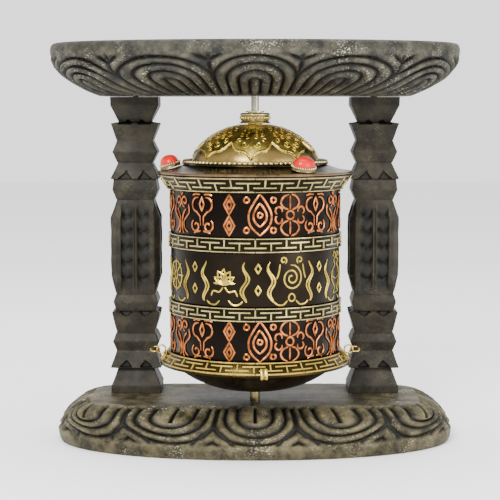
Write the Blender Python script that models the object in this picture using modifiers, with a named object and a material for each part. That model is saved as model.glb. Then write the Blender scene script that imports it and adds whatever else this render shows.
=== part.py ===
"""A table prayer wheel: a metal drum that turns on a fixed rod in a carved wooden frame.

Run with: blender --background --python part.py
All sizes below are millimetres and become metres when a shape is made. +Z is up, the
viewer stands at -Y, and the origin is the centre of the base board's underside. The rod
stands a little in front of the posts, so that the links on the drum clear them.
"""
import math

import bmesh
import bpy
from mathutils import Matrix, Vector

MM = 0.001
GAP = 0.3

# Boards: a flat that carries the posts, and a carved edge that curves out to an oval.
BASE_TOP = 24.4
BASE_EDGE = 6.5
BASE_OVAL = (111.6, 59.5)
BASE_FLAT = (92.0, 34.0)
TOP_BOTTOM = 193.2
TOP_EDGE = 216.0
TOP_TOP = 222.3
TOP_OVAL = (114.1, 62.0)
TOP_FLAT = (85.6, 33.0)
OVAL_POWER = 2.1
FLAT_POWER = 6.0
EDGE_STEPS = 5
OUTLINE_POINTS = 64

# Posts: square in section, widest at the foot and along the shaft.
POST_X = 67.7
POST_Y = 15.0
POST_DEPTH_RATIO = 0.85
CORNER = 0.8
SHAFT_CORNER = 3.4
SHAFT_TOP = 125.0
SHAFT_BOTTOM = 91.9
# Height and half width, from the top block down to the foot.
POST_PROFILE = (
    (TOP_BOTTOM - GAP, 13.8), (188.2, 13.8), (178.9, 9.3),
    (178.1, 13.8), (168.3, 10.3),
    (167.6, 10.6), (162.1, 12.9), (156.4, 10.4),
    (155.9, 9.9), (147.0, 13.9),
    (146.4, 12.2), (140.6, 13.1), (135.4, 11.0),
    (134.8, 10.6), (SHAFT_TOP, 14.2), (SHAFT_BOTTOM, 14.2), (81.1, 11.3),
    (80.6, 11.8), (76.9, 12.9), (72.1, 11.5),
    (71.2, 13.9), (68.4, 13.4), (59.1, 11.0),
    (58.5, 11.8), (54.2, 13.4), (48.8, 11.3),
    (48.2, 11.7), (39.3, 14.6),
    (38.5, 10.6), (28.7, 14.4), (BASE_TOP + GAP, 14.4),
)

# Wood screws that hold the boards to the posts.
SCREW_SHANK = 1.7
SCREW_HEAD = 3.6
SCREW_HEAD_HEIGHT = 3.0
SCREW_RIM = 0.8
SCREW_POINT = 3.0
SCREW_RECESS = 1.0
BASE_SCREW_LENGTH = 40.0
TOP_SCREW_LENGTH = 44.0

# Rod and what turns on it.
AXIS_Y = -20.0
ROD_RADIUS = 2.1
ROD_BOTTOM = 12.0
ROD_TOP = 221.0
ROD_CHAMFER = 0.4
BUSH_BORE = 2.2
BUSH_RADIUS = 3.9
HUB_BORE = BUSH_RADIUS + GAP
TUBE_BORE = 2.7
TUBE_RADIUS = 3.4
COLLAR_RADIUS = 2.7
COLLAR = (BASE_TOP + GAP, 30.4)
LOWER_FLANGE = (5.6, 1.1)
UPPER_FLANGE = (5.2, 0.8)
BUSH_OVERHANG = 1.2
UPPER_BUSH_BOTTOM = 176.0

# Drum, by height.
PAN_BOTTOM = 31.9
PAN_RADIUS = 46.2
PAN_WALL = 0.8
PAN_LIP = 52.3
PAN_EDGE = 15.4
PAN_LEAN = 0.2
PAN_DISH = ((41.0, 43.2), (33.0, 38.3), (22.0, 34.1), (12.0, 32.4), (HUB_BORE, PAN_BOTTOM))
SHELL_BOTTOM = 49.0
SHELL_TOP = 153.0
SHELL_RADIUS = 45.2
SHELL_WALL = 0.8
RING_TOP = 54.3
RING_BOTTOM = 47.2
RING_RADIUS = 52.3
RING_NECK = 47.4
RING_EDGE = 0.8
RING_SEAT = 52.6
CONE_WALL = 1.4
PANEL_RADIUS = 46.2
BAND_RADIUS = 46.8
LOWER_PANEL = (54.6, 75.2)
LOWER_BAND = (75.5, 82.9)
SYMBOL_PANEL = (83.2, 111.3)
UPPER_BAND = (111.6, 119.4)
UPPER_PANEL = (119.7, 142.9)
LID_BAND = (143.2, 150.9)
LID_BAND_RADII = (47.5, 52.9)
RIM_RADIUS = 53.3
RIM_HEIGHT = 151.6
SCROLL = (52.0, 146.0)
SCROLL_BORE = TUBE_RADIUS + GAP
SCROLL_RADIUS = 38.0

# Lid, dome and crown.
LID_SLOPE = math.atan2(3.8, 13.5)
LID_SHOULDER = (39.5, 156.0)
LID_EYE = 33.0
LID_RISE = 0.4
LID_WALL = 1.0
BEAD_SIDES = 6
BEAD_RING_RADIUS = 38.6
BEAD_RADIUS = 1.2
BEAD_HEIGHT = 157.65
DOME_BOTTOM = 156.8
DOME_TOP = 178.0
DOME_RADIUS = 35.2
DOME_EYE = 8.6
DOME_WALL = 1.0
DOME_SHARES = (0.93, 0.78, 0.52, 0.22)
DOME_BULGE = 1.9
DOME_SHOULDER = 0.72
CROWN_BOTTOM = DOME_TOP + GAP
CROWN_TOP = 184.0
CROWN_RADIUS = 8.3
CROWN_NECK = 7.4
CROWN_FOOT = 9.0

# Three stones in bezels on the lid, counted from the front towards +X.
STONE_ANGLES = {"front": 33.0, "left": -87.0, "rear": 153.0}
STONE_CIRCLE = 46.0
STONE_RADIUS = 6.2
STONE_HEIGHT = 4.8
STONE_SQUEEZE = 0.82
BEZEL_RADIUS = 7.1
BEZEL_WALL = 0.6
BEZEL_HEIGHT = 2.2
BEZEL_FLOOR = 0.9

# Eyelets on the skirt ring and the loose links in them.
EYELET_X = 51.8
EYELET_Z = 53.9
EYELET_RADIUS = 2.3
EYELET_WIRE = 0.45
LINK_RADIUS = 2.45
LINK_WIRE = 0.4
LINK_INNER_X = 52.9
LINK_TILT = math.radians(25.0)

# Clasp: a strap bent round the skirt ring.
CLASP_ANGLE = 5.0
CLASP_WIDTH = 3.6

STEPS = 40
SMALL_STEPS = 24
SCREW_STEPS = 14

for old in list(bpy.data.objects):
    bpy.data.objects.remove(old)

parts = bpy.data.collections.new("prayer_wheel")
cutters = bpy.data.collections.new("cutters")
bpy.context.scene.collection.children.link(parts)
bpy.context.scene.collection.children.link(cutters)


def finish(name, colour, roughness, metallic):
    """A plain material with the piece's colour and shine."""
    material = bpy.data.materials.new(name)
    material.use_nodes = True
    shader = material.node_tree.nodes["Principled BSDF"]
    shader.inputs["Base Color"].default_value = (*colour, 1.0)
    shader.inputs["Roughness"].default_value = roughness
    shader.inputs["Metallic"].default_value = metallic
    return material


WOOD = finish("carved_wood", (0.085, 0.08, 0.062), 0.6, 0.0)
BRASS = finish("aged_brass", (0.62, 0.50, 0.22), 0.35, 1.0)
GILT = finish("gilt_brass", (0.60, 0.45, 0.10), 0.35, 1.0)
COPPER = finish("aged_copper", (0.16, 0.09, 0.06), 0.4, 1.0)
BRONZE = finish("dark_bronze", (0.09, 0.075, 0.05), 0.4, 1.0)
STEEL = finish("bright_steel", (0.60, 0.59, 0.55), 0.3, 1.0)
CORAL = finish("red_coral", (0.75, 0.07, 0.04), 0.2, 0.0)
PAPER = finish("rolled_paper", (0.72, 0.66, 0.50), 0.85, 0.0)


def add(name, data, material=None, collection=parts):
    """Put a new object in its collection, with its material."""
    thing = bpy.data.objects.new(name, data)
    collection.objects.link(thing)
    if material:
        data.materials.append(material)
    return thing


def turned(name, profile, material=None, steps=STEPS, ring=True, collection=parts):
    """Turn a profile of (radius, height) points about the drum's axis.

    A ring's profile is closed on itself; a solid's starts and ends on the axis. Both run
    down the outer side.
    """
    mesh = bpy.data.meshes.new(name)
    points = [(radius * MM, 0.0, height * MM) for radius, height in profile]
    edges = [(i, i + 1) for i in range(len(points) - 1)]
    if ring:
        edges.append((len(points) - 1, 0))
    mesh.from_pydata(points, edges, [])
    thing = add(name, mesh, material, collection)
    screw = thing.modifiers.new("turn", "SCREW")
    screw.steps = steps
    screw.render_steps = steps
    screw.use_merge_vertices = True
    screw.merge_threshold = 0.00001
    screw.use_smooth_shade = True
    thing.location = (0.0, AXIS_Y * MM, 0.0)
    return thing


def tube(name, bore, radius, span, material, steps=STEPS):
    """A plain round tube between two heights."""
    low, high = span
    profile = ((bore, high), (radius, high), (radius, low), (bore, low))
    return turned(name, profile, material, steps)


def loft(name, sections, material):
    """Skin a stack of outlines, lowest first, each a ring of the same number of points."""
    mesh = bpy.data.meshes.new(name)
    form = bmesh.new()
    rings = [[form.verts.new(Vector(point) * MM) for point in ring] for ring in sections]
    count = len(rings[0])
    for lower, upper in zip(rings, rings[1:]):
        for i in range(count):
            j = (i + 1) % count
            form.faces.new((lower[i], lower[j], upper[j], upper[i]))
    form.faces.new(list(reversed(rings[0])))
    form.faces.new(rings[-1])
    form.to_mesh(mesh)
    form.free()
    return add(name, mesh, material)


def oval(half_width, half_depth, power, height):
    """A superellipse outline: power 2 is an ellipse, a higher one is squarer."""
    ring = []
    for i in range(OUTLINE_POINTS):
        angle = 2 * math.pi * i / OUTLINE_POINTS
        c, s = math.cos(angle), math.sin(angle)
        reach = (abs(c) ** power + abs(s) ** power) ** (-1 / power)
        ring.append((half_width * c * reach, half_depth * s * reach, height))
    return ring


def carved_edge(flat, outer, flat_height, edge_height, bulge):
    """Outlines of a board's curved edge, from its flat to its widest outline."""
    rings = []
    for i in range(EDGE_STEPS + 1):
        turn = math.pi / 2 * i / EDGE_STEPS
        out = math.sin(turn) ** bulge
        drop = 1 - math.cos(turn)
        half_width = flat[0] + (outer[0] - flat[0]) * out
        half_depth = flat[1] + (outer[1] - flat[1]) * out
        power = FLAT_POWER + (OVAL_POWER - FLAT_POWER) * out
        height = flat_height + (edge_height - flat_height) * drop
        rings.append(oval(half_width, half_depth, power, height))
    return rings


def cut(thing, cutter):
    """Take a cutter's shape out of a piece."""
    cutter.hide_render = True
    cutter.display_type = "WIRE"
    boolean = thing.modifiers.new("cut_" + cutter.name, "BOOLEAN")
    boolean.operation = "DIFFERENCE"
    boolean.solver = "EXACT"
    boolean.object = cutter


def screw_profile(length, room=0.0, run_out=0.0):
    """A countersunk screw standing on its head; room and run_out make its hole."""
    shank = SCREW_SHANK + room
    head = SCREW_HEAD + room
    return (
        (0.0, length + room),
        (shank, length + room - SCREW_POINT),
        (shank, SCREW_HEAD_HEIGHT + room),
        (head, SCREW_RIM + room),
        (head, -run_out),
        (0.0, -run_out),
    )


def screw_and_hole(name, length, x, z, points_down, wood_pieces):
    """One wood screw, and its hole through the pieces that it joins."""
    place = Matrix.Translation((x * MM, POST_Y * MM, z * MM))
    if points_down:
        place = place @ Matrix.Rotation(math.pi, 4, "X")
    screw = turned(name, screw_profile(length), STEEL, SCREW_STEPS, ring=False)
    hole_profile = screw_profile(length, room=GAP, run_out=2 * SCREW_RECESS)
    hole = turned(name + "_hole", hole_profile, None, SCREW_STEPS, False, cutters)
    screw.matrix_world = place
    hole.matrix_world = place
    for piece in wood_pieces:
        cut(piece, hole)


def post_section(height, half_width):
    """A rectangle with its corners cut off, wider cuts along the shaft."""
    on_shaft = SHAFT_BOTTOM <= height <= SHAFT_TOP
    corner = SHAFT_CORNER if on_shaft else CORNER
    w = half_width
    d = half_width * POST_DEPTH_RATIO
    outline = (
        (w, corner - d), (w, d - corner), (w - corner, d), (corner - w, d),
        (-w, d - corner), (-w, corner - d), (corner - w, -d), (w - corner, -d),
    )
    return [(x, y, height) for x, y in outline]


def make_frame():
    """Boards, posts and the screws between them."""
    edge = carved_edge(BASE_FLAT, BASE_OVAL, BASE_TOP, BASE_EDGE, 1.4)
    foot = oval(BASE_OVAL[0] - 2.0, BASE_OVAL[1] - 2.0, OVAL_POWER, 0.0)
    base = loft("base_board", [foot] + edge[::-1], WOOD)
    edge = carved_edge(TOP_FLAT, TOP_OVAL, TOP_BOTTOM, TOP_EDGE, 1.9)
    rim = oval(TOP_OVAL[0] - 0.5, TOP_OVAL[1] - 0.5, OVAL_POWER, TOP_TOP - 1.8)
    lid = oval(TOP_OVAL[0] - 3.5, TOP_OVAL[1] - 3.5, OVAL_POWER, TOP_TOP)
    top = loft("top_board", edge + [rim, lid], WOOD)
    sections = [post_section(z, half_width) for z, half_width in reversed(POST_PROFILE)]
    for side, x in (("left", -POST_X), ("right", POST_X)):
        post = loft(side + "_post", sections, WOOD)
        post.location = (x * MM, POST_Y * MM, 0.0)
        low = SCREW_RECESS
        high = TOP_TOP - SCREW_RECESS
        screw_and_hole("base_screw_" + side, BASE_SCREW_LENGTH, x, low, False, (base, post))
        screw_and_hole("top_screw_" + side, TOP_SCREW_LENGTH, x, high, True, (top, post))
    bore = ROD_RADIUS + GAP
    span = ((0.0, TOP_TOP + 5), (bore, TOP_TOP + 5), (bore, ROD_BOTTOM - GAP), (0.0, ROD_BOTTOM - GAP))
    rod_hole = turned("rod_hole", span, None, SMALL_STEPS, False, cutters)
    cut(base, rod_hole)
    cut(top, rod_hole)


def make_rod():
    """The fixed rod, and the collar on it that the drum rests on."""
    r, c = ROD_RADIUS, ROD_CHAMFER
    profile = (
        (0.0, ROD_TOP), (r - c, ROD_TOP), (r, ROD_TOP - c),
        (r, ROD_BOTTOM + c), (r - c, ROD_BOTTOM), (0.0, ROD_BOTTOM),
    )
    turned("spindle_rod", profile, STEEL, SMALL_STEPS, ring=False)
    tube("stop_collar", BUSH_BORE, COLLAR_RADIUS, COLLAR, BRASS, SMALL_STEPS)


def make_bushes():
    """Flanged bushes at the pan and the crown, and the tube between them."""
    floor = PAN_BOTTOM + PAN_WALL + GAP
    seat = CROWN_TOP + GAP
    for name, foot, flange, end in (
            ("lower_bush", floor, LOWER_FLANGE, PAN_BOTTOM - BUSH_OVERHANG),
            ("upper_bush", seat, UPPER_FLANGE, UPPER_BUSH_BOTTOM)):
        reach, thick = flange
        turned(name, (
            (BUSH_BORE, foot + thick), (reach, foot + thick), (reach, foot),
            (BUSH_RADIUS, foot), (BUSH_RADIUS, end), (BUSH_BORE, end),
        ), BRASS, SMALL_STEPS)
    low = floor + LOWER_FLANGE[1] + GAP
    tube("inner_tube", TUBE_BORE, TUBE_RADIUS, (low, UPPER_BUSH_BOTTOM - GAP), BRASS, SMALL_STEPS)
    tube("prayer_scroll", SCROLL_BORE, SCROLL_RADIUS, SCROLL, PAPER)


def make_drum():
    """The can, its wrapped relief panels and fret bands, and the pan that closes it."""
    inner = SHELL_RADIUS - SHELL_WALL
    tube("drum_shell", inner, SHELL_RADIUS, (SHELL_BOTTOM, SHELL_TOP), BRONZE)
    wrap = SHELL_RADIUS + GAP
    tube("lower_relief_panel", wrap, PANEL_RADIUS, LOWER_PANEL, COPPER)
    tube("symbol_panel", wrap, PANEL_RADIUS, SYMBOL_PANEL, BRONZE)
    tube("upper_relief_panel", wrap, PANEL_RADIUS, UPPER_PANEL, COPPER)
    tube("lower_fret_band", wrap, BAND_RADIUS, LOWER_BAND, BRASS)
    tube("upper_fret_band", wrap, BAND_RADIUS, UPPER_BAND, BRASS)
    foot, head = LID_BAND
    low_reach, high_reach = LID_BAND_RADII
    turned("lid_fret_band", (
        (high_reach - CONE_WALL, head), (high_reach, head), (low_reach, foot),
        (wrap, foot), (wrap, foot + CONE_WALL),
    ), BRASS)
    turned("skirt_ring", (
        (wrap, RING_TOP), (RING_NECK, RING_TOP), (RING_RADIUS, RING_BOTTOM + RING_EDGE),
        (RING_RADIUS, RING_BOTTOM), (RING_RADIUS - CONE_WALL, RING_BOTTOM),
        (RING_NECK - 0.2, RING_SEAT), (wrap, RING_SEAT),
    ), BRASS)
    inner_lip = PAN_RADIUS - PAN_WALL
    outside = ((PAN_RADIUS, PAN_LIP), (PAN_RADIUS, PAN_BOTTOM + PAN_EDGE)) + PAN_DISH
    inside = [(r, z + PAN_WALL + PAN_LEAN) for r, z in PAN_DISH[:-1]]
    inside = [(HUB_BORE, PAN_BOTTOM + PAN_WALL)] + inside[::-1]
    inside += [(inner_lip, PAN_BOTTOM + PAN_EDGE + PAN_WALL), (inner_lip, PAN_LIP)]
    turned("drum_pan", list(outside) + inside, BRONZE)


def dome_outline(inset):
    """The dome's outline from its eye down to its foot, moved in by inset."""
    rise = DOME_TOP - DOME_BOTTOM
    span = DOME_RADIUS - DOME_EYE
    outline = [(DOME_EYE, DOME_TOP - inset)]
    for share in DOME_SHARES:
        radius = DOME_EYE + span * (1 - share ** DOME_BULGE) ** DOME_SHOULDER
        reach = radius - inset * (1 - share / 2)
        outline.append((reach, DOME_BOTTOM + rise * share - inset * share))
    return outline + [(DOME_RADIUS - inset, DOME_BOTTOM)]


def make_lid():
    """The flared lid, the beads round the dome, the dome and its crown."""
    shoulder, height = LID_SHOULDER
    crest = height + LID_RISE
    turned("drum_lid", (
        (LID_EYE, crest), (shoulder, height), (RIM_RADIUS - 0.3, RIM_HEIGHT + 0.6),
        (RIM_RADIUS, RIM_HEIGHT), (RIM_RADIUS - 0.4, RIM_HEIGHT - 0.4),
        (shoulder, height - LID_WALL), (LID_EYE, crest - LID_WALL),
    ), BRONZE)
    beads = []
    for i in range(BEAD_SIDES):
        turn = math.pi / 2 - 2 * math.pi * i / BEAD_SIDES
        beads.append((
            BEAD_RING_RADIUS + BEAD_RADIUS * math.cos(turn),
            BEAD_HEIGHT + BEAD_RADIUS * math.sin(turn),
        ))
    turned("lid_bead_ring", beads, BRASS)
    turned("lid_dome", dome_outline(0.0) + dome_outline(DOME_WALL)[::-1], GILT)
    turned("crown_collar", (
        (HUB_BORE, CROWN_TOP), (CROWN_RADIUS - 0.6, CROWN_TOP), (CROWN_RADIUS, CROWN_TOP - 0.7),
        (CROWN_RADIUS, 180.6), (CROWN_NECK, 179.9), (CROWN_NECK, 179.2),
        (CROWN_FOOT, CROWN_BOTTOM), (HUB_BORE, CROWN_BOTTOM),
    ), BRASS)


def on_lid(angle):
    """Where a stone stands on the lid's slope: its X along the rim, its Z off the slope."""
    around = Matrix.Rotation(math.radians(angle), 4, "Z")
    height = LID_SHOULDER[1] - (STONE_CIRCLE - LID_SHOULDER[0]) * math.tan(LID_SLOPE)
    out = Matrix.Translation((0.0, -STONE_CIRCLE * MM, (height + GAP) * MM))
    lean = Matrix.Rotation(LID_SLOPE, 4, "X")
    axis = Matrix.Translation((0.0, AXIS_Y * MM, 0.0))
    return axis @ around @ out @ lean @ Matrix.Diagonal((1.0, STONE_SQUEEZE, 1.0, 1.0))


def make_stones():
    """Coral stones in brass bezels."""
    wall = BEZEL_RADIUS - BEZEL_WALL
    bezel = (
        (0.0, BEZEL_FLOOR), (wall, BEZEL_FLOOR), (wall, BEZEL_HEIGHT),
        (BEZEL_RADIUS, BEZEL_HEIGHT), (BEZEL_RADIUS, 0.0), (0.0, 0.0),
    )
    seat = BEZEL_FLOOR + GAP
    stone = []
    for i in range(5):
        turn = math.pi / 2 * i / 4
        stone.append((STONE_RADIUS * math.sin(turn), seat + 1.0 + STONE_HEIGHT * math.cos(turn)))
    stone += [(STONE_RADIUS, seat), (0.0, seat)]
    for place, angle in STONE_ANGLES.items():
        cup = turned("bezel_" + place, bezel, BRASS, SMALL_STEPS, ring=False)
        gem = turned("coral_" + place, stone, CORAL, SMALL_STEPS, ring=False)
        cup.matrix_world = on_lid(angle)
        gem.matrix_world = on_lid(angle)


def wire_ring(name, radius, wire, place, material):
    """A closed ring of round wire, lying in its own XY plane."""
    bpy.ops.mesh.primitive_torus_add(
        major_radius=radius * MM, minor_radius=wire * MM,
        major_segments=20, minor_segments=6)
    thing = bpy.context.object
    thing.name = name
    thing.data.name = name
    thing.data.materials.append(material)
    for home in list(thing.users_collection):
        home.objects.unlink(thing)
    parts.objects.link(thing)
    thing.data.shade_smooth()
    thing.matrix_world = place
    return thing


def make_links():
    """An eyelet on each end of the skirt ring, with a loose link in it."""
    for side, sign in (("left", -1), ("right", 1)):
        at = Vector((sign * EYELET_X, AXIS_Y, EYELET_Z)) * MM
        upright = Matrix.Translation(at) @ Matrix.Rotation(math.pi / 2, 4, "X")
        wire_ring(side + "_eyelet", EYELET_RADIUS, EYELET_WIRE, upright, BRASS)
        pivot = Vector((sign * (EYELET_X + EYELET_RADIUS), AXIS_Y, EYELET_Z)) * MM
        hinge = bpy.data.objects.new(side + "_link_pivot", None)
        parts.objects.link(hinge)
        hinge.location = pivot
        centre = sign * (LINK_INNER_X + LINK_RADIUS) * MM
        level = Matrix.Translation((centre, AXIS_Y * MM, EYELET_Z * MM))
        tilt = Matrix.Rotation(LINK_TILT, 4, "X")
        link = wire_ring(side + "_link", LINK_RADIUS, LINK_WIRE, level @ tilt, BRASS)
        link.parent = hinge
        link.matrix_parent_inverse = Matrix.Translation(-pivot)


def make_clasp():
    """A strap bent over the skirt ring's face and under its edge."""
    outline = (
        (50.35, 51.2), (52.65, 48.25), (52.65, 46.9), (50.9, 46.9),
        (50.9, 46.1), (53.45, 46.1), (53.45, 48.5), (51.0, 51.7),
    )
    curve = bpy.data.curves.new("ring_clasp", "CURVE")
    curve.dimensions = "2D"
    curve.fill_mode = "BOTH"
    curve.extrude = CLASP_WIDTH / 2 * MM
    line = curve.splines.new("POLY")
    line.points.add(len(outline) - 1)
    for point, (radius, height) in zip(line.points, outline):
        point.co = (radius * MM, height * MM, 0.0, 1.0)
    line.use_cyclic_u = True
    clasp = add("ring_clasp", curve, BRASS)
    stand = Matrix.Rotation(math.pi / 2, 4, "X")
    to_front = Matrix.Rotation(math.radians(CLASP_ANGLE - 90.0), 4, "Z")
    clasp.matrix_world = Matrix.Translation((0.0, AXIS_Y * MM, 0.0)) @ to_front @ stand


make_frame()
make_rod()
make_bushes()
make_drum()
make_lid()
make_stones()
make_links()
make_clasp()
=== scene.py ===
"""The looks of the table prayer wheel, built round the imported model.

Lengths are metres unless a name says mm. +Z is up and the viewer stands at -Y.
"""

from math import atan2, ceil, cos, exp, hypot, pi, radians, sin

import bmesh
import bpy
import numpy as np
from mathutils import Matrix, Vector


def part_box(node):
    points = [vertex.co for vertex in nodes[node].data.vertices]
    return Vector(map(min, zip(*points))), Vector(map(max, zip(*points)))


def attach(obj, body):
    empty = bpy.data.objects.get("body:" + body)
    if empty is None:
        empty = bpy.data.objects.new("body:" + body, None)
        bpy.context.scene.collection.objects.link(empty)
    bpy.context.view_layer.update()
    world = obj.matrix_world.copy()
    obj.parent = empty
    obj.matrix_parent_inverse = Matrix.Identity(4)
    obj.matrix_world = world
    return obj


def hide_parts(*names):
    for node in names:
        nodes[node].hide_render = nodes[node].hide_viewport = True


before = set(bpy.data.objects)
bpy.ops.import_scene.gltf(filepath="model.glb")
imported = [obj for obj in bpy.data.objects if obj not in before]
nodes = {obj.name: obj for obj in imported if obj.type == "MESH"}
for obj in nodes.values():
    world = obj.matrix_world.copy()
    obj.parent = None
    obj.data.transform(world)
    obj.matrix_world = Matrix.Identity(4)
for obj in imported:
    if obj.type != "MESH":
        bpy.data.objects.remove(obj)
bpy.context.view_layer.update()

MM = 0.001
TAU = 2 * pi
UP = Vector((0, 0, 1))
SHARP_FROM = radians(42)


def middle(node):
    low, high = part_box(node)
    return (low + high) / 2


def outer_radius(node):
    low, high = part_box(node)
    return (high.x - low.x) / 2


AXIS = middle("spindle_rod")
AXIS_Y = AXIS.y


# Materials.

def material(name, roughness=0.5, metallic=0.0):
    """An empty Principled material, with its nodes, links and shader."""
    mat = bpy.data.materials.new(name)
    mat.use_nodes = True
    tree = mat.node_tree
    shader = tree.nodes["Principled BSDF"]
    shader.inputs["Roughness"].default_value = roughness
    shader.inputs["Metallic"].default_value = metallic
    return mat, tree, shader


def noise(tree, scale, detail=6.0, roughness=0.6, stretch=(1, 1, 1)):
    """Object-space noise, with its features stretched by the given shares."""
    where = tree.nodes.new("ShaderNodeTexCoord")
    turn = tree.nodes.new("ShaderNodeMapping")
    turn.inputs["Scale"].default_value = stretch
    grain = tree.nodes.new("ShaderNodeTexNoise")
    grain.inputs["Scale"].default_value = scale
    grain.inputs["Detail"].default_value = detail
    grain.inputs["Roughness"].default_value = roughness
    tree.links.new(where.outputs["Object"], turn.inputs["Vector"])
    tree.links.new(turn.outputs["Vector"], grain.inputs["Vector"])
    return grain.outputs["Fac"]


def ramp(tree, value, *stops):
    """A colour ramp; each stop is (position, colour or grey)."""
    node = tree.nodes.new("ShaderNodeValToRGB")
    band = node.color_ramp
    while len(band.elements) < len(stops):
        band.elements.new(0.5)
    for element, (position, colour) in zip(band.elements, stops):
        element.position = position
        if isinstance(colour, (int, float)):
            colour = (colour, colour, colour)
        element.color = (*colour, 1.0)
    tree.links.new(value, node.inputs["Fac"])
    return node.outputs["Color"]


def mix(tree, share, one, other, mode="MIX"):
    """Blend two colours, each a socket or a fixed colour, by a socket or number."""
    node = tree.nodes.new("ShaderNodeMix")
    node.data_type = "RGBA"
    node.blend_type = mode
    for socket, value in ((node.inputs[0], share), (node.inputs[6], one), (node.inputs[7], other)):
        if hasattr(value, "is_linked"):
            tree.links.new(value, socket)
        elif isinstance(value, (int, float)):
            socket.default_value = value
        else:
            socket.default_value = (*value, 1.0)
    return node.outputs[2]


def relief(tree):
    """The height that the mesh itself carries: 0 in a groove, 1 on top."""
    node = tree.nodes.new("ShaderNodeAttribute")
    node.attribute_name = "relief"
    return node.outputs["Fac"]


def bump(tree, shader, height, distance, strength=0.5):
    node = tree.nodes.new("ShaderNodeBump")
    node.inputs["Distance"].default_value = distance
    node.inputs["Strength"].default_value = strength
    tree.links.new(height, node.inputs["Height"])
    tree.links.new(node.outputs["Normal"], shader.inputs["Normal"])


def wood_material(name, grain_stretch, tones, glint_share):
    """Blackened carved wood, paler along its ridges and darker in its cuts from wear and from a
    painted highlight and painted shade, dotted with painted glints.
    """
    mat, tree, shader = material(name, 0.6)
    grain = noise(tree, 60, 8, 0.65, grain_stretch)
    base = ramp(tree, grain, (0.3, (0.003, 0.003, 0.0025)), (0.55, (0.007, 0.0065, 0.005)),
                (0.75, (0.014, 0.013, 0.009)))
    # Paler on the ridges and darker in the cuts: partly wear, partly a painted highlight on the
    # crests and painted shade in the cuts.
    worn = ramp(tree, relief(tree), (0.35, 0.0), (0.98, 1.0))
    low, high = tones
    rubbed = ramp(tree, noise(tree, 95, 6, 0.75), (0.40, low), (0.62, high))
    body = mix(tree, worn, base, rubbed)
    # Whitish dots on the ridges are painted glints.
    glint_dots = noise(tree, 1700, 3, 0.6, (0.6, 0.6, 1.0))
    glint_patches = noise(tree, 60, 4, 0.6)
    glints = mix(tree, 1.0, ramp(tree, glint_dots, (0.57, 0.0), (0.66, 1.0)),
               ramp(tree, glint_patches, (0.48, 0.0), (0.66, glint_share)), "MULTIPLY")
    glints = mix(tree, 1.0, glints, worn, "MULTIPLY")
    colour = mix(tree, glints, body, (0.50, 0.48, 0.36))
    tree.links.new(colour, shader.inputs["Base Color"])
    tree.links.new(ramp(tree, grain, (0.3, 0.42), (0.7, 0.66)), shader.inputs["Roughness"])
    shader.inputs["Specular IOR Level"].default_value = 0.16
    bump(tree, shader, grain, 0.0006, 0.7)
    return mat


def metal_material(name, dark, bright, worn_at, roughness=0.34, tarnish=0.5, scale=120):
    """Antiqued metal: dark in its recesses, bright where hands have rubbed it."""
    mat, tree, shader = material(name, roughness, 1.0)
    height = ramp(tree, relief(tree), (worn_at[0], 0.0), (worn_at[1], 1.0))
    cloud = noise(tree, scale, 6, 0.65)
    soot = ramp(tree, cloud, (0.35, tarnish), (0.62, 1.0))
    shine = mix(tree, 1.0, bright, soot, "MULTIPLY")
    colour = mix(tree, height, dark, shine)
    tree.links.new(colour, shader.inputs["Base Color"])
    tree.links.new(ramp(tree, cloud, (0.3, roughness - 0.08), (0.7, roughness + 0.14)),
                   shader.inputs["Roughness"])
    bump(tree, shader, noise(tree, 900, 4, 0.6), 0.00012, 0.5)
    return mat


def coral_material():
    mat, tree, shader = material("red_coral", 0.16)
    cloud = noise(tree, 140, 5, 0.6)
    colour = ramp(tree, cloud, (0.3, (0.38, 0.004, 0.003)), (0.6, (0.52, 0.007, 0.005)),
                  (0.8, (0.60, 0.018, 0.012)))
    tree.links.new(colour, shader.inputs["Base Color"])
    shader.inputs["Specular IOR Level"].default_value = 0.25
    bump(tree, shader, cloud, 0.0002, 0.25)
    return mat


def paper_material():
    mat, tree, shader = material("rolled_paper", 0.85)
    layers = noise(tree, 300, 3, 0.5, (1, 1, 0.05))
    colour = ramp(tree, layers, (0.35, (0.50, 0.42, 0.27)), (0.65, (0.74, 0.67, 0.50)))
    tree.links.new(colour, shader.inputs["Base Color"])
    bump(tree, shader, layers, 0.0002, 0.5)
    return mat


ALONG, UPRIGHT = (0.12, 1.0, 1.0), (1.0, 1.0, 0.12)
# The base and the top board are one wood: the base's paler tones are painted light on its
# upward-facing carving, the top board's darker tones are painted shade on its downward-facing
# carving.
WOOD_BASE_LIT = wood_material(
    "carved_base", ALONG, ((0.020, 0.017, 0.009), (0.105, 0.088, 0.045)), 0.9)
WOOD_TOP_SHADED = wood_material(
    "carved_top", ALONG, ((0.010, 0.010, 0.009), (0.062, 0.056, 0.038)), 0.9)
WOOD_POST = wood_material(
    "carved_post", UPRIGHT, ((0.016, 0.013, 0.008), (0.052, 0.043, 0.026)), 0.2)
BRASS = metal_material("aged_brass", (0.012, 0.010, 0.005), (0.56, 0.46, 0.20), (0.3, 0.85), 0.3)
SKIRT_BRASS = metal_material("skirt_brass", (0.022, 0.015, 0.004), (0.64, 0.45, 0.10), (0.3, 0.85),
                             0.26, 0.6)
GILT = metal_material("gilt_brass", (0.16, 0.105, 0.036), (0.92, 0.68, 0.13), (0.3, 0.90), 0.30,
                      0.6)
COPPER = metal_material("aged_copper", (0.008, 0.006, 0.005), (0.62, 0.20, 0.06), (0.45, 0.95),
                        0.26, 0.3, 260)
GOLD_LINE = metal_material("gold_line", (0.05, 0.038, 0.010), (0.60, 0.43, 0.07), (0.3, 0.9), 0.26)
BRONZE = metal_material("dark_bronze", (0.010, 0.008, 0.006), (0.20, 0.125, 0.07), (0.1, 0.9), 0.30,
                        0.35, 60)
STEEL = metal_material("bright_steel", (0.14, 0.13, 0.10), (0.36, 0.34, 0.26), (0.1, 0.9), 0.32,
                       0.6)
CORAL = coral_material()
PAPER = paper_material()


# Mesh helpers.

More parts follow.
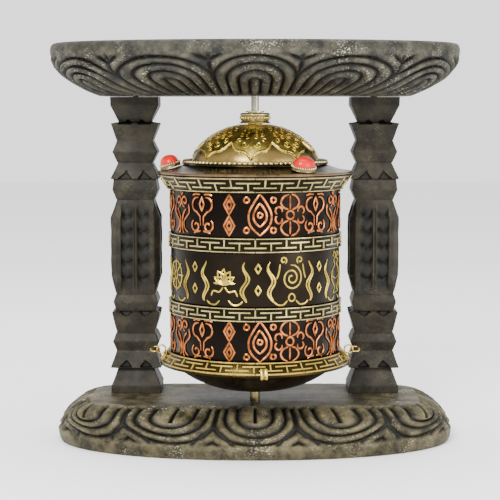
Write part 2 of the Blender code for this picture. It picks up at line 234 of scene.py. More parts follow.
def piece(name, points, faces, mat, heights=None, stands_for=(), body="wheel"):
    """A finished mesh piece: its material, its body and what it stands for."""
    mesh = bpy.data.meshes.new(name)
    mesh.from_pydata([tuple(p) for p in points], [], faces)
    mesh.validate()
    return settle(name, mesh, mat, heights, stands_for, body)


def settle(name, mesh, mat, heights=None, stands_for=(), body="wheel"):
    """Link a mesh into the scene as a piece that rides on a body."""
    form = bmesh.new()
    form.from_mesh(mesh)
    bmesh.ops.recalc_face_normals(form, faces=form.faces)
    form.to_mesh(mesh)
    form.free()
    worn = mesh.attributes.new("relief", "FLOAT", "POINT")
    if heights is None:
        heights = np.ones(len(mesh.vertices))
    worn.data.foreach_set("value", np.asarray(heights, np.float32))
    mesh.shade_smooth()
    mesh.set_sharp_from_angle(angle=SHARP_FROM)
    thing = bpy.data.objects.new(name, mesh)
    bpy.context.scene.collection.objects.link(thing)
    mesh.materials.append(mat)
    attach(thing, body)
    if stands_for:
        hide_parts(*stands_for)
    return thing


def grid_faces(rows, columns):
    """Quads of a grid that is closed round its columns."""
    faces = []
    for i in range(rows - 1):
        for j in range(columns):
            k = (j + 1) % columns
            a = i * columns
            b = a + columns
            faces.append((a + j, a + k, b + k, b + j))
    return faces


def capped_grid(rings):
    """Points and faces of a stack of rings with flat caps."""
    rows, columns = len(rings), len(rings[0])
    points = [p for ring in rings for p in ring]
    faces = grid_faces(rows, columns)
    faces.append(tuple(reversed(range(columns))))
    last = (rows - 1) * columns
    faces.append(tuple(last + j for j in range(columns)))
    return points, faces


def turned(name, profile, mat, stands_for=(), steps=128, closed=False, place=None,
           worn=1.0, body="wheel"):
    """Turn a profile of (radius, height) about the drum's axis, or about a placed axis."""
    points = []
    heights = []
    for r, z in profile:
        for j in range(steps):
            a = TAU * j / steps
            points.append((r * sin(a), -r * cos(a), z))
            heights.append(worn(r) if callable(worn) else worn)
    faces = grid_faces(len(profile), steps)
    if closed:
        last = (len(profile) - 1) * steps
        for j in range(steps):
            k = (j + 1) % steps
            faces.append((last + j, last + k, k, j))
    else:
        faces.append(tuple(range(steps)))
        last = (len(profile) - 1) * steps
        faces.append(tuple(reversed(range(last, last + steps))))
    move = place or Matrix.Translation((0, AXIS_Y, 0))
    return piece(name, [move @ Vector(p) for p in points], faces, mat, heights, stands_for,
                 body)


def rounded(profile, cuts=4, share=0.3):
    """Round a profile's corners with short arcs that take a share of each side."""
    soft = [profile[0]]
    for before, here, after in zip(profile, profile[1:], profile[2:]):
        p, q, r = (Vector(v) for v in (before, here, after))
        reach = min(0.0006, (p - q).length * share, (r - q).length * share)
        start = q + (p - q).normalized() * reach
        end = q + (r - q).normalized() * reach
        for i in range(cuts + 1):
            t = i / cuts
            soft.append(tuple(start * (1 - t) ** 2 + q * 2 * t * (1 - t) + end * t * t))
    soft.append(profile[-1])
    return soft


def smoothstep(low, high, value):
    t = min(1.0, max(0.0, (value - low) / (high - low)))
    return t * t * (3 - 2 * t)


# Carved boards.

OUTLINE = 1200
EDGE_ROWS = 72
PETALS = 12
CARVE_DEPTH = 0.0024
PETAL_PITCH = 0.0062
FLAME_PITCH = 0.0054
# How pale the plain flats and the rims are painted: a painted reflection on the flats and a painted
# highlight on the rims.
FLAT_PAINTED_REFLECTION = 0.85
RIM_PAINTED_HIGHLIGHT = 0.8
OVAL_POWER = 2.1
FLAT_POWER = 6.0


def oval_outline(half_width, half_depth, power):
    """The unit parameters of a superellipse, in even steps of its own angle."""
    ring = []
    for i in range(OUTLINE):
        a = TAU * i / OUTLINE - pi / 2
        c, s = cos(a), sin(a)
        reach = (abs(c) ** power + abs(s) ** power) ** (-1 / power)
        ring.append(Vector((half_width * c * reach, half_depth * s * reach, 0.0)))
    return ring


def arc_lengths(ring):
    """Distance along an outline from its first point, and the whole length."""
    along = [0.0]
    for a, b in zip(ring, ring[1:] + ring[:1]):
        along.append(along[-1] + (b - a).length)
    return along[:-1], along[-1]


def ridge(t):
    """A rounded ridge between two knife cuts, once every whole number."""
    return abs(sin(pi * t)) ** 0.8


def lotus_height(du, v, pitch):
    """Nested U cuts round a petal's heart; v is 0 at the flat and 1 at the rim."""
    across = abs(du) / (pitch / 2)
    heart = 0.34
    below = max(0.0, v - heart) * 0.036
    rho = hypot(du * 0.86, below)
    lip = ridge(rho / PETAL_PITCH + 0.5) if rho > PETAL_PITCH else 1.0
    seam = smoothstep(0.0, 0.13, abs(1 - across - 0.5 * smoothstep(0.5, 1.0, v)))
    slit = smoothstep(0.0004, 0.0016, abs(du)) if v < 0.52 else 1.0
    return min(lip, 0.1 + seam, 0.15 + slit)


def flame_height(du, v, pitch):
    """Nested arches that lean away from the middle; v is 0 at the flat, 1 at the rim."""
    slide = du + (0.55 - v) * 0.026 * smoothstep(0.01, 0.08, du)
    across = slide / (pitch / 2)
    fold = across - 2 * round(across / 2)
    side = abs(fold) * pitch / 2
    above = max(0.0, v - 0.48) * 0.042
    rho = hypot(side * 0.80, above)
    seam = smoothstep(0.0, 0.10, 1 - abs(fold))
    return min(ridge(rho / FLAME_PITCH + 0.5), 0.2 + seam)


def carve(kind, along, total, v):
    """Relief of a board's edge, 0 in the deepest cut and 1 on the surface."""
    pitch = total / PETALS
    u = along if along < total / 2 else along - total
    edge = smoothstep(0.0, 0.05, v) * smoothstep(0.0, 0.09, 1 - v)
    if kind == "lotus":
        nearest = round(u / pitch) * pitch
        height = lotus_height(u - nearest, v, pitch)
    else:
        height = flame_height(abs(u), v, pitch)
    return 1 - edge * (1 - height)


def hand_noise(point):
    """Slow unevenness of hand-carved wood, from -1 to 1."""
    x, y, z = (c / MM for c in point)
    return (sin(x * 0.21 + 1.3 * sin(z * 0.17))
            + sin(y * 0.27 + 0.9 * sin(x * 0.13)) + sin(z * 0.31 + 0.11 * x)) / 3


def board_piece(name, node, mat, kind, flat, flat_z, edge_z, bulge, far_rings):
    """A carved board: its flat, its carved edge, and the plain rings beyond the edge."""
    low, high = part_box(node)
    half_width, half_depth = (high.x - low.x) / 2, (high.y - low.y) / 2
    rings = []
    heights = []
    for share in (0.25, 0.5, 0.75, 0.9):
        rings.append([p * share + UP * flat_z for p in oval_outline(*flat, FLAT_POWER)])
        # The flat carries a painted reflection.
        heights.append([FLAT_PAINTED_REFLECTION] * OUTLINE)
    profile = []
    for i in range(EDGE_ROWS + 1):
        turn = pi / 2 * i / EDGE_ROWS
        out = sin(turn) ** bulge
        z = flat_z + (edge_z - flat_z) * (1 - cos(turn))
        width = flat[0] + (half_width - flat[0]) * out
        depth = flat[1] + (half_depth - flat[1]) * out
        power = FLAT_POWER + (OVAL_POWER - FLAT_POWER) * out
        profile.append([p + UP * z for p in oval_outline(width, depth, power)])
    along, total = arc_lengths(profile[-1])
    start = along[0]
    for i, ring in enumerate(profile):
        v = i / EDGE_ROWS
        carved = []
        marks = []
        before = profile[max(i - 1, 0)]
        after = profile[min(i + 1, EDGE_ROWS)]
        for j, point in enumerate(ring):
            height = carve(kind, along[j] - start, total, v)
            side = ring[(j + 1) % OUTLINE] - ring[j - 1]
            normal = side.cross(after[j] - before[j]).normalized()
            if normal.dot(Vector((point.x, point.y, 0))) < 0:
                normal.negate()
            depth = CARVE_DEPTH * (1 - height) + 0.00035 * (1 + hand_noise(point * 2)) * v
            carved.append(point - normal * depth)
            marks.append(height)
        rings.append(carved)
        heights.append(marks)
    for inset, z in far_rings:
        ring = oval_outline(half_width - inset, half_depth - inset, OVAL_POWER)
        rings.append([p + UP * z for p in ring])
        # The plain rims carry a painted highlight.
        heights.append([RIM_PAINTED_HIGHLIGHT] * OUTLINE)
    points, faces = capped_grid(rings)
    return piece(name, points, faces, mat, [h for row in heights for h in row], (node,),
                 "frame")


def make_boards():
    low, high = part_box("base_board")
    board_piece("carved_base_board", "base_board", WOOD_BASE_LIT, "lotus", (0.092, 0.034), high.z,
                low.z + 0.0065, 1.4,
                ((0.0003, low.z + 0.0045), (0.0008, low.z + 0.002), (0.002, low.z)))
    low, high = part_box("top_board")
    board_piece("carved_top_board", "top_board", WOOD_TOP_SHADED, "flame", (0.0856, 0.033), low.z,
                high.z - 0.0063, 1.9,
                ((0.0003, high.z - 0.0035), (0.0009, high.z - 0.0014), (0.002, high.z - 0.0004),
                 (0.0035, high.z), (0.03, high.z)))


# Carved posts.

POST_DEPTH_RATIO = 0.85
FACE_STEPS = 44
SHAFT = (0.0811, 0.1348)
# Height and half width in mm, from the foot to the top block.
POST_PROFILE = (
    (24.7, 14.4), (28.7, 14.4), (38.5, 10.6), (39.3, 14.6), (48.2, 11.7), (48.8, 11.3),
    (54.2, 13.4), (58.5, 11.8), (59.1, 11.0), (68.4, 13.4), (71.2, 13.9), (72.1, 11.5),
    (76.9, 12.9), (80.6, 11.8), (81.1, 11.3), (91.9, 14.2), (125.0, 14.2), (134.8, 10.6),
    (135.4, 11.0), (140.6, 13.1), (146.4, 12.2), (147.0, 13.9), (155.9, 9.9), (156.4, 10.4),
    (162.1, 12.9), (167.6, 10.6), (168.3, 10.3), (178.1, 13.8), (178.9, 9.3), (188.2, 13.8),
    (192.9, 13.8),
)
# Mouldings whose lower edge is cut into petals, and how tall the cuts are.
PETAL_EDGES = ((0.0393, 0.0040), (0.147, 0.0046), (0.1781, 0.0022), (0.0712, -0.0026))


def shaft_cut(across, z):
    """Depth of the two flutes with crescents that run down a face of the shaft."""
    low, high = SHAFT
    ends = smoothstep(low + 0.001, low + 0.006, z) * smoothstep(-high + 0.001, -high + 0.006, -z)
    side = abs(across) - 0.43
    flute = 1 - smoothstep(0.20, 0.33, abs(side))
    if flute <= 0:
        seam = 1 - smoothstep(0.0, 0.05, abs(across))
        return ends * seam * 0.0007
    pitch = 0.0088
    z_local = (z - low) / pitch
    hang = z_local - 0.35 * (side / 0.3) ** 2
    crescent = abs(sin(pi * hang)) ** 0.5
    return ends * (0.0004 + 0.0021 * flute * (1 - 0.85 * crescent))


def petal_cut(across, z):
    """Depth of the triangular nicks in a moulding's edge."""
    depth = 0.0
    for edge, tall in PETAL_EDGES:
        reach = (z - edge) / tall
        if 0 <= reach <= 1:
            near = min(abs(abs(across) - 0.42), 1.0)
            if near < 0.26 * (1 - reach):
                depth = max(depth, 0.0021 * (1 - reach) ** 0.4)
    return depth


def post_levels():
    """Every height at which a post has a row of points: its edges, and steps between."""
    levels = []
    for (z0, w0), (z1, w1) in zip(POST_PROFILE, POST_PROFILE[1:]):
        steps = max(2, round((z1 - z0) / 0.7)) if z1 - z0 > 1.2 else 2
        for i in range(steps):
            t = i / steps
            levels.append(((z0 + (z1 - z0) * t) * MM, (w0 + (w1 - w0) * t) * MM))
    last = POST_PROFILE[-1]
    levels.append((last[0] * MM, last[1] * MM))
    return levels


def post_ring(z, w, seed):
    """One row of a post: four faces with cut corners, each face carved inwards."""
    d = w * POST_DEPTH_RATIO
    on_shaft = SHAFT[0] < z < SHAFT[1]
    bow = smoothstep(SHAFT[0], 0.0919, z) * smoothstep(-SHAFT[1], -0.125, -z) if on_shaft else 0.0
    corner = (0.6 + 2.8 * bow) * MM
    ring = []
    marks = []
    front, right = Vector((0, -1, 0)), Vector((1, 0, 0))
    faces = ((front, right, d, w), (right, -front, w, d), (-front, -right, d, w),
             (-right, front, w, d))
    for out, side, reach, span in faces:
        for i in range(FACE_STEPS):
            across = -1 + 2 * i / (FACE_STEPS - 1)
            cut = petal_cut(across, z)
            if on_shaft:
                cut = max(cut, shaft_cut(across, z))
            fade = smoothstep(0.0, 0.12, 1 - abs(across))
            point = out * (reach - cut * fade) + side * (across * (span - corner)) + UP * z
            wobble = hand_noise(point * 1.7 + Vector((seed, 0, 0)))
            ring.append(point - out * 0.00022 * (1 + wobble))
            # Paler where the cut is shallow and darker in the cuts: partly wear, partly a painted
            # highlight and painted shade.
            marks.append(max(0.0, 0.62 - cut * fade / 0.0021 * 0.6 + 0.12 * wobble))
    return ring, marks


def make_posts():
    for side in ("left", "right"):
        node = side + "_post"
        centre = middle(node)
        rings = []
        heights = []
        for z, w in post_levels():
            ring, marks = post_ring(z, w, centre.x)
            rings.append([p + Vector((centre.x, centre.y, 0)) for p in ring])
            heights += marks
        points, faces = capped_grid(rings)
        piece("carved_" + node, points, faces, WOOD_POST, heights, (node,), "frame")


# Surfaces that carry relief.

class Wall:
    """A cylinder or cone round the drum's axis, with places given by angle, share and lift."""

    def __init__(self, low_radius, low_z, high_radius, high_z):
        self.low = Vector((low_radius, low_z))
        self.high = Vector((high_radius, high_z))
        run = (self.high - self.low).normalized()
        self.out = Vector((run.y, -run.x))
        self.height = (self.high - self.low).length

    def at(self, angle, share, lift=0.0):
        """Angle is from the front towards +X, share from the low edge to the high one."""
        spot = self.low.lerp(self.high, share) + self.out * lift
        return Vector((spot.x * sin(angle), AXIS_Y - spot.x * cos(angle), spot.y))


# The key fret: periods round the drum, the heights of its bars and the reach of their arms.
FRET_REPEATS = 18
FRET_LOW, FRET_HIGH = 0.34, 0.66
FRET_ARM = 0.36
# How far a bar's sides slope in, and how deep its foot is sunk in the wall.
BAR_SLOPE = 0.00022
BAR_FOOT = -0.0002


def add_bar(points, faces, heights, wall, angles, shares, rise):
    """A raised bar on a wall, with sloping sides; heights mark its foot and its top."""
    (a0, a1), (v0, v1) = angles, shares
    steps = max(2, ceil(abs(a1 - a0) / radians(1.5)))
    edge_a = BAR_SLOPE / wall.low.x
    edge_v = BAR_SLOPE / wall.height
    start = len(points)
    for i in range(steps + 1):
        t = i / steps
        a = a0 + (a1 - a0) * t
        inner = min(max(a, a0 + edge_a), a1 - edge_a)
        points.append(wall.at(a, v0, BAR_FOOT))
        points.append(wall.at(inner, v0 + edge_v, BAR_FOOT + rise))
        points.append(wall.at(inner, v1 - edge_v, BAR_FOOT + rise))
        points.append(wall.at(a, v1, BAR_FOOT))
        heights += [0.1, 1.0, 1.0, 0.1]
    for i in range(steps):
        a = start + 4 * i
        for j in range(4):
            k = (j + 1) % 4
            faces.append((a + j, a + k, a + 4 + k, a + 4 + j))
    faces.append(tuple(start + j for j in reversed(range(4))))
    last = start + 4 * steps
    faces.append(tuple(last + j for j in range(4)))


def fret(name, wall, mat, bar, rise, border, turn=0.0):
    """Two borders and interlocking T bars between them, all raised on a wall."""
    points, faces, heights = [], [], []
    line = bar * MM / wall.height
    rim = border * MM / wall.height
    half = 0.5 * bar * MM / wall.low.x

    def add(a0, a1, v0, v1):
        add_bar(points, faces, heights, wall, (a0, a1), (v0, v1), rise)

    for low in (0.0, 1 - rim):
        for i in range(12):
            add(TAU * i / 12, TAU * (i + 1) / 12, low, low + rim)
    period = TAU / FRET_REPEATS
    for i in range(FRET_REPEATS):
        hang = turn + i * period
        stand = hang + period / 2
        for middle_a, (foot, head), bar_v in (
                (hang, (FRET_LOW, 1 - rim), FRET_LOW), (stand, (rim, FRET_HIGH), FRET_HIGH)):
            add(middle_a - half, middle_a + half, foot, head)
            reach = period * FRET_ARM
            add(middle_a - reach, middle_a + reach, bar_v - line / 2, bar_v + line / 2)
    return piece(name, points, faces, mat, heights)


def stroke_piece(name, strokes, place, wire, mat, sides=6, flat=0.75):
    """Raised wires that follow strokes of (across, up) points, put on a surface by place."""
    points, faces, heights = [], [], []
    for stroke, closed in strokes:
        spots = [place(u, v, 0.0) for u, v in stroke]
        outs = [(place(u, v, MM) - spot).normalized() for (u, v), spot in zip(stroke, spots)]
        count = len(spots)
        start = len(points)
        for i, (spot, out) in enumerate(zip(spots, outs)):
            before = spots[i - 1] if closed or i else spots[i]
            after = spots[(i + 1) % count] if closed or i < count - 1 else spots[i]
            along = (after - before).normalized()
            side = along.cross(out).normalized()
            taper = 1.0 if closed else min(1.0, 0.45 + min(i, count - 1 - i) * 0.4)
            for j in range(sides):
                a = TAU * j / sides + pi / sides
                reach = side * cos(a) + out * sin(a) * flat
                points.append(spot + reach * wire * taper)
                heights.append(0.5 + 0.5 * sin(a))
        for i in range(count if closed else count - 1):
            a = start + i * sides
            b = start + (i + 1) % count * sides
            for j in range(sides):
                k = (j + 1) % sides
                faces.append((a + j, a + k, b + k, b + j))
        if not closed:
            faces.append(tuple(reversed(range(start, start + sides))))
            last = start + (count - 1) * sides
            faces.append(tuple(range(last, last + sides)))
    return piece(name, points, faces, mat, heights)


# Ornaments, in mm.

def arc(cx, cy, radius, start, end, steps=10, squash=1.0):
    """Points of an arc, with its angles in degrees."""
    out = []
    for i in range(steps + 1):
        a = radians(start + (end - start) * i / steps)
        out.append((cx + radius * cos(a), cy + radius * squash * sin(a)))
    return out


def spiral(cx, cy, inner, outer, start, turns, steps=18):
    out = []
    for i in range(steps + 1):
        t = i / steps
        a = radians(start) + TAU * turns * t
        r = inner + (outer - inner) * t
        out.append((cx + r * cos(a), cy + r * sin(a)))
    return out


def mirrored(stroke):
    return [(-u, v) for u, v in stroke]


def diamond(cx, cy, w, h):
    return [(cx, cy + h), (cx + w, cy), (cx, cy - h), (cx - w, cy)]


def pair(stroke, closed=False):
    """A stroke and its mirror image."""
    return [(stroke, closed), (mirrored(stroke), closed)]


def lozenge_chain():
    strokes = []
    for cy in (4.6, -4.6):
        strokes.append((diamond(0, cy, 2.6, 4.4), True))
        strokes.append((diamond(0, cy, 1.2, 2.2), True))
    return strokes


def palmette():
    """A symmetric bud with volutes below it."""
    strokes = pair(arc(2.6, 4.2, 3.2, 100, -80, 9) + [(1.0, -1.0), (0.8, -5.0)])
    strokes += pair(spiral(3.6, -5.2, 0.8, 3.0, 20, 1.1, 16))
    strokes += [(diamond(0, 4.4, 1.3, 3.0), True)]
    strokes += pair([(1.2, 8.6), (3.6, 8.9), (5.8, 8.2)])
    strokes += pair(arc(0, -8.6, 4.6, 0, 80, 7, 0.25))
    return strokes


def leaf():
    """A pointed leaf, nested in a second, with a bead at its heart."""
    strokes = []
    for share in (1.0, 0.58):
        side = [(0.0, -9.0), (4.4, -4.6), (5.2, 0.6), (2.8, 5.4), (0.0, 9.2)]
        strokes += pair([(u * share, v * share) for u, v in side])
    strokes.append((arc(0, 0, 1.1, 0, 330, 10), True))
    strokes += pair(arc(6.2, -6.6, 1.2, 0, 330, 9), True)
    strokes += pair(arc(6.2, 6.6, 1.2, 0, 330, 9), True)
    return strokes


def thunder_bud():
    """Prongs that meet above and below a round heart."""
    strokes = [(arc(0, 0, 1.9, 0, 330, 12), True)]
    for flip in (1, -1):
        prong = [(0.9, 2.4), (3.4, 3.4), (4.6, 5.6), (3.2, 8.0), (0.6, 9.2)]
        strokes += pair([(u, v * flip) for u, v in prong])
        strokes += [([(0, 2.6 * flip), (0, 8.4 * flip)], False)]
        strokes += pair(arc(5.6, 1.9 * flip, 1.7, -60 * flip, 200 * flip, 9))
    return strokes


def cloud():
    """A cloud head on a waving stem, doubled about its middle."""
    strokes = pair(spiral(2.6, 5.4, 0.7, 2.7, 180, 1.25, 18))
    strokes += pair([(5.6, 4.0), (6.2, 0.6), (4.2, -1.6), (2.2, -3.6), (2.6, -6.6), (5.2, -8.4)])
    strokes += pair([(3.8, 2.0), (2.0, 0.2), (0.9, -2.4), (0.9, -7.0), (2.0, -9.0)])
    strokes += [(diamond(0, 9.0, 1.0, 0.9), True)]
    return strokes


def smooth(stroke, closed, per=4):
    """A Catmull-Rom curve through a stroke's points."""
    if len(stroke) > 9:
        return stroke
    count = len(stroke)
    spans = range(count if closed else count - 1)
    out = []
    for i in spans:
        if closed:
            p = [stroke[(i + k) % count] for k in (-1, 0, 1, 2)]
        else:
            p = [stroke[min(max(i + k, 0), count - 1)] for k in (-1, 0, 1, 2)]
        for s in range(per):
            t = s / per
            out.append(tuple(
                0.5 * (2 * p[1][c] + (p[2][c] - p[0][c]) * t
                       + (2 * p[0][c] - 5 * p[1][c] + 4 * p[2][c] - p[3][c]) * t * t
                       + (3 * p[1][c] - p[0][c] - 3 * p[2][c] + p[3][c]) * t ** 3)
                for c in (0, 1)))
    if not closed:
        out.append(stroke[-1])
    return out


def straight(stroke, per=4):
    """A closed stroke's sides cut into short steps, with its corners kept."""
    out = []
    for a, b in zip(stroke, stroke[1:] + stroke[:1]):
        for s in range(per):
            t = s / per
            out.append((a[0] + (b[0] - a[0]) * t, a[1] + (b[1] - a[1]) * t))
    return out


def fine_steps(stroke, closed):
    """A stroke in short steps: diamonds keep their corners and the rest is curved."""
    sharp = closed and len(stroke) == 4
    return straight(stroke) if sharp else smooth(stroke, closed)


def wall_place(wall, count, lift):
    """Turns cells and shares of a panel's height into points on its wall."""
    def place(cell, up, rise):
        return wall.at(TAU * cell / count, 0.5 + up, lift + rise)
    return place


# The drum.

DRUM_STEPS = 160
# The relief value of the ground that bars and ornaments stand on.
GROUND = 0.12


def node_wall(node):
    """The outside of a CAD tube, as a wall to raise relief on."""
    low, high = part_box(node)
    return Wall(outer_radius(node), low.z, outer_radius(node), high.z)


def node_tube(name, node, mat, thick=0.0007):
    """A plain wall where a CAD tube stands, with softened edges."""
    low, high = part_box(node)
    radius = outer_radius(node)
    inner = radius - thick
    ring = [(inner, high.z), (radius, high.z), (radius, low.z), (inner, low.z)]
    soft = rounded([ring[3]] + ring + [ring[0]], 3)[1:-1]
    return turned(name, soft, mat, (node,), DRUM_STEPS, closed=True,
                  worn=GROUND)


ORNAMENTS = (palmette, lozenge_chain, leaf, thunder_bud, palmette, cloud)
PANEL_MOTIFS = 18
# An ornament's scale across and its panel's share up, and the turn of the row in ornaments.
ORNAMENT_SCALE = (1.12, 0.84)
ORNAMENT_TURN = -1.85


def make_relief_panels():
    """Copper panels with raised ornaments, in rows above and below."""
    for node in ("upper_relief_panel", "lower_relief_panel"):
        node_tube(node + "_sheet", node, COPPER)
        wall = node_wall(node)
        cell = TAU * outer_radius(node) / PANEL_MOTIFS / MM / ORNAMENT_SCALE[0]
        tall = wall.height / MM * ORNAMENT_SCALE[1]
        strokes = []
        for i in range(PANEL_MOTIFS):
            for stroke, closed in ORNAMENTS[i % len(ORNAMENTS)]():
                fine = [(u / cell + i + ORNAMENT_TURN, v / tall)
                        for u, v in fine_steps(stroke, closed)]
                strokes.append((fine, closed))
        place = wall_place(wall, PANEL_MOTIFS, 0.0002)
        stroke_piece(node + "_ornament", strokes, place, 0.00062, COPPER)


def lotus_flower():
    strokes = []
    for lean, reach in ((0, 7.0), (28, 6.6), (56, 6.0), (84, 5.2)):
        a = radians(90 - lean)
        tip = (reach * cos(a), reach * sin(a) - 2.5)
        petal = [(0.0, -2.5), (tip[0] * 0.4 - 1.5 * sin(a), tip[1] * 0.45 + 0.4), tip,
                 (tip[0] * 0.55 + 1.5 * sin(a), tip[1] * 0.3 - 1.2)]
        strokes += pair(petal, True) if lean else [(petal, True)]
    strokes += pair([(0.5, -3.4), (2.4, -5.4), (5.4, -5.0), (6.6, -7.2)])
    return strokes


def conch():
    strokes = [(spiral(0, 0.5, 0.7, 5.6, 60, 2.1, 34), False)]
    strokes += pair(spiral(4.2, 8.0, 0.5, 1.7, 200, 1.1, 12))
    strokes.append((arc(0, -7.8, 1.6, 0, 330, 10), True))
    strokes += pair([(5.8, 6.4), (6.4, 3.2), (7.4, 0.2)])
    return strokes


def vase():
    strokes = pair([(0.0, -8.0), (3.2, -7.6), (2.0, -5.6), (5.2, -1.6), (4.0, 2.4), (1.6, 4.0),
                    (2.8, 6.4), (0.0, 7.4)])
    strokes += pair(arc(2.2, 8.4, 1.5, -30, 220, 8))
    strokes += [([(-4.4, -0.6), (0, -1.8), (4.4, -0.6)], False)]
    return strokes


def law_wheel():
    strokes = [(arc(0, 0, 6.0, 0, 350, 28), True), (arc(0, 0, 1.7, 0, 330, 12), True)]
    for i in range(8):
        a = TAU * i / 8
        strokes.append(([(r * cos(a), r * sin(a)) for r in (1.9, 7.3)], False))
    return strokes


def parasol():
    strokes = [(arc(0, 1.0, 6.6, 0, 180, 14, 0.85), False)]
    strokes += [([(-6.6, 1.0), (-4.4, -0.6), (-2.2, 1.0), (0, -0.6), (2.2, 1.0), (4.4, -0.6),
                  (6.6, 1.0)], False)]
    strokes += [([(0, 9.0), (0, 7.0)], False), ([(0, -0.6), (0, -9.0)], False)]
    strokes += pair([(2.8, -2.0), (3.8, -4.4), (2.6, -6.6), (4.0, -8.8)])
    return strokes


def endless_knot():
    strokes = [(diamond(0, 0, 6.0, 7.6), True), (diamond(0, 0, 3.0, 3.8), True)]
    for s in (-1, 1):
        strokes.append(([(-4.6, 1.6 * s), (0, 7.0 * s - 7.0 * s + 3.4 * s), (4.6, 1.6 * s)], False))
        strokes.append((arc(0, 7.8 * s, 1.5, 0, 330, 10), True))
        strokes.append((arc(6.4 * s, 0, 1.4, 0, 330, 10), True))
    return strokes


def jewel():
    """A flaming jewel: nested leaves over a ring of three beads."""
    strokes = []
    for share in (1.0, 0.66, 0.34):
        side = [(0.0, -5.6), (3.8, -3.6), (5.0, 0.8), (2.6, 4.8), (0.0, 9.6)]
        strokes += pair([(u * share, v * share) for u, v in side])
    strokes += pair(arc(3.6, -7.8, 1.2, 0, 330, 9), True)
    strokes.append((arc(0, -7.8, 1.2, 0, 330, 9), True))
    return strokes


# A figure's scale, its lift in mm, and the turn of the set in figures.
FIGURE_WIDTH, FIGURE_HEIGHT = 1.12, 1.24
FIGURE_RISE = 0.4
FIGURE_TURN = 0.54
# Where the lozenges between two figures stand, in mm from a figure's middle.
BETWEEN = 16.2
SYMBOLS = (conch, vase, law_wheel, parasol, endless_knot, jewel, law_wheel, lotus_flower)


def ribbon(sign, lean):
    """A waving ribbon beside a symbol, drawn as two edges that meet at its ends."""
    stroke = []
    back = []
    for i in range(15):
        t = i / 14
        u = 9.6 + 1.3 * sin(t * TAU * 1.6 + lean) + 1.0 * t
        v = -9.6 + 17.0 * t
        wide = 0.75 * sin(pi * min(1.0, t + 0.08))
        stroke.append((sign * (u - wide), v))
        back.append((sign * (u + wide), v))
    return [(stroke, False), (back, False)]


def hem(sign):
    """The curl that joins a ribbon to the symbol's foot."""
    curl = ((2.2, -9.0), (4.4, -10.8), (7.2, -10.6), (9.0, -9.2))
    return [([(sign * u, v) for u, v in curl], False)]


def make_symbol_panel():
    node = "symbol_panel"
    node_tube("symbol_panel_sheet", node, BRONZE)
    wall = node_wall(node)
    count = len(SYMBOLS)
    cell = TAU * outer_radius(node) / count / MM
    tall = wall.height / MM
    strokes = []
    for i, symbol in enumerate(SYMBOLS):
        parts = list(symbol())
        for sign in (-1, 1):
            parts += ribbon(sign, 0.6 * sign + 1.1 * i) + hem(sign)
            parts.append((diamond(BETWEEN, 4.6 * sign, 1.3, 2.0), True))
        for stroke, closed in parts:
            fine = fine_steps(stroke, closed)
            strokes.append(([(u * FIGURE_WIDTH / cell + i + FIGURE_TURN,
                              (v * FIGURE_HEIGHT + FIGURE_RISE) / tall) for u, v in fine], closed))
    place = wall_place(wall, count, 0.0001)
    stroke_piece("symbol_panel_figures", strokes, place, 0.00050, GOLD_LINE)


def make_fret_bands():
    for node in ("lower_fret_band", "upper_fret_band"):
        node_tube(node + "_sheet", node, BRASS)
        fret(node + "_bars", node_wall(node), BRASS, 1.1, 0.0009, 0.9)
    low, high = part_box("lid_fret_band")
    band = [(0.0516, high.z), (0.0529, high.z), (0.0475, low.z), (0.0455, low.z),
            (0.0455, low.z + 0.0014)]
    turned("lid_fret_band_sheet", band, BRASS, ("lid_fret_band",),
           DRUM_STEPS, True,
           worn=GROUND)
    wall = Wall(0.0475, low.z, 0.0529, high.z)
    fret("lid_fret_band_bars", wall, BRASS, 1.15, 0.0008, 0.9, 0.1)


def make_skirt():
    low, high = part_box("skirt_ring")
    radius = outer_radius("skirt_ring")
    ring = [(0.0455, high.z), (0.0474, high.z), (radius, low.z + 0.0008), (radius, low.z),
            (radius - 0.0014, low.z), (0.0472, 0.0526), (0.0455, 0.0526)]
    turned("skirt_ring_sheet", ring, SKIRT_BRASS, ("skirt_ring",),
           DRUM_STEPS, True,
           worn=GROUND)
    wall = Wall(radius - 0.0001, low.z + 0.0009, 0.0475, high.z - 0.0002)
    fret("skirt_ring_bars", wall, SKIRT_BRASS, 1.15, 0.0008, 1.1, 0.16)


PAN_RISE = 0.0154
PAN_CURVE = 2.6


def make_drum():
    node_tube("drum_can", "drum_shell", BRONZE, 0.0008)
    make_relief_panels()
    make_symbol_panel()
    make_fret_bands()
    make_skirt()
    low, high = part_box("drum_pan")
    radius = outer_radius("drum_pan")
    outside = [(radius, high.z)]
    for i in range(25):
        t = i / 24
        turn = pi / 2 * t
        r = 0.0042 + (radius - 0.0042) * cos(turn) ** 0.8
        outside.append((r, low.z + PAN_RISE * (r / radius) ** PAN_CURVE))
    inside = [(max(r - 0.0007, 0.0042), z + 0.0007) for r, z in outside[::-1]]
    inside[-1] = (radius - 0.0007, high.z)
    turned("drum_pan_dish", outside + inside, BRONZE, ("drum_pan",), 128, True,
           worn=0.35)


# Lid, dome and crown.

LOBES = 8
DOME_EYE = 0.0086
DOME_BULGE = 1.9
DOME_SHOULDER = 0.72
DOME_LOW, DOME_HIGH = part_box("lid_dome")
DOME_FOOT = outer_radius("lid_dome")
DOME_TURN = radians(-4)


def lobe_edge(angle):
    """How far down the dome the gilt collar reaches, from 0 at the eye to 1 at the foot."""
    t = ((angle - DOME_TURN) * LOBES / TAU) % 1.0
    near = abs(t - round(t)) * 2
    ogee = 0.84 - 0.20 * near ** 2.0 + 0.06 * max(0.0, 1 - near * 6)
    return ogee + 0.016 * cos(near * TAU * 1.5)


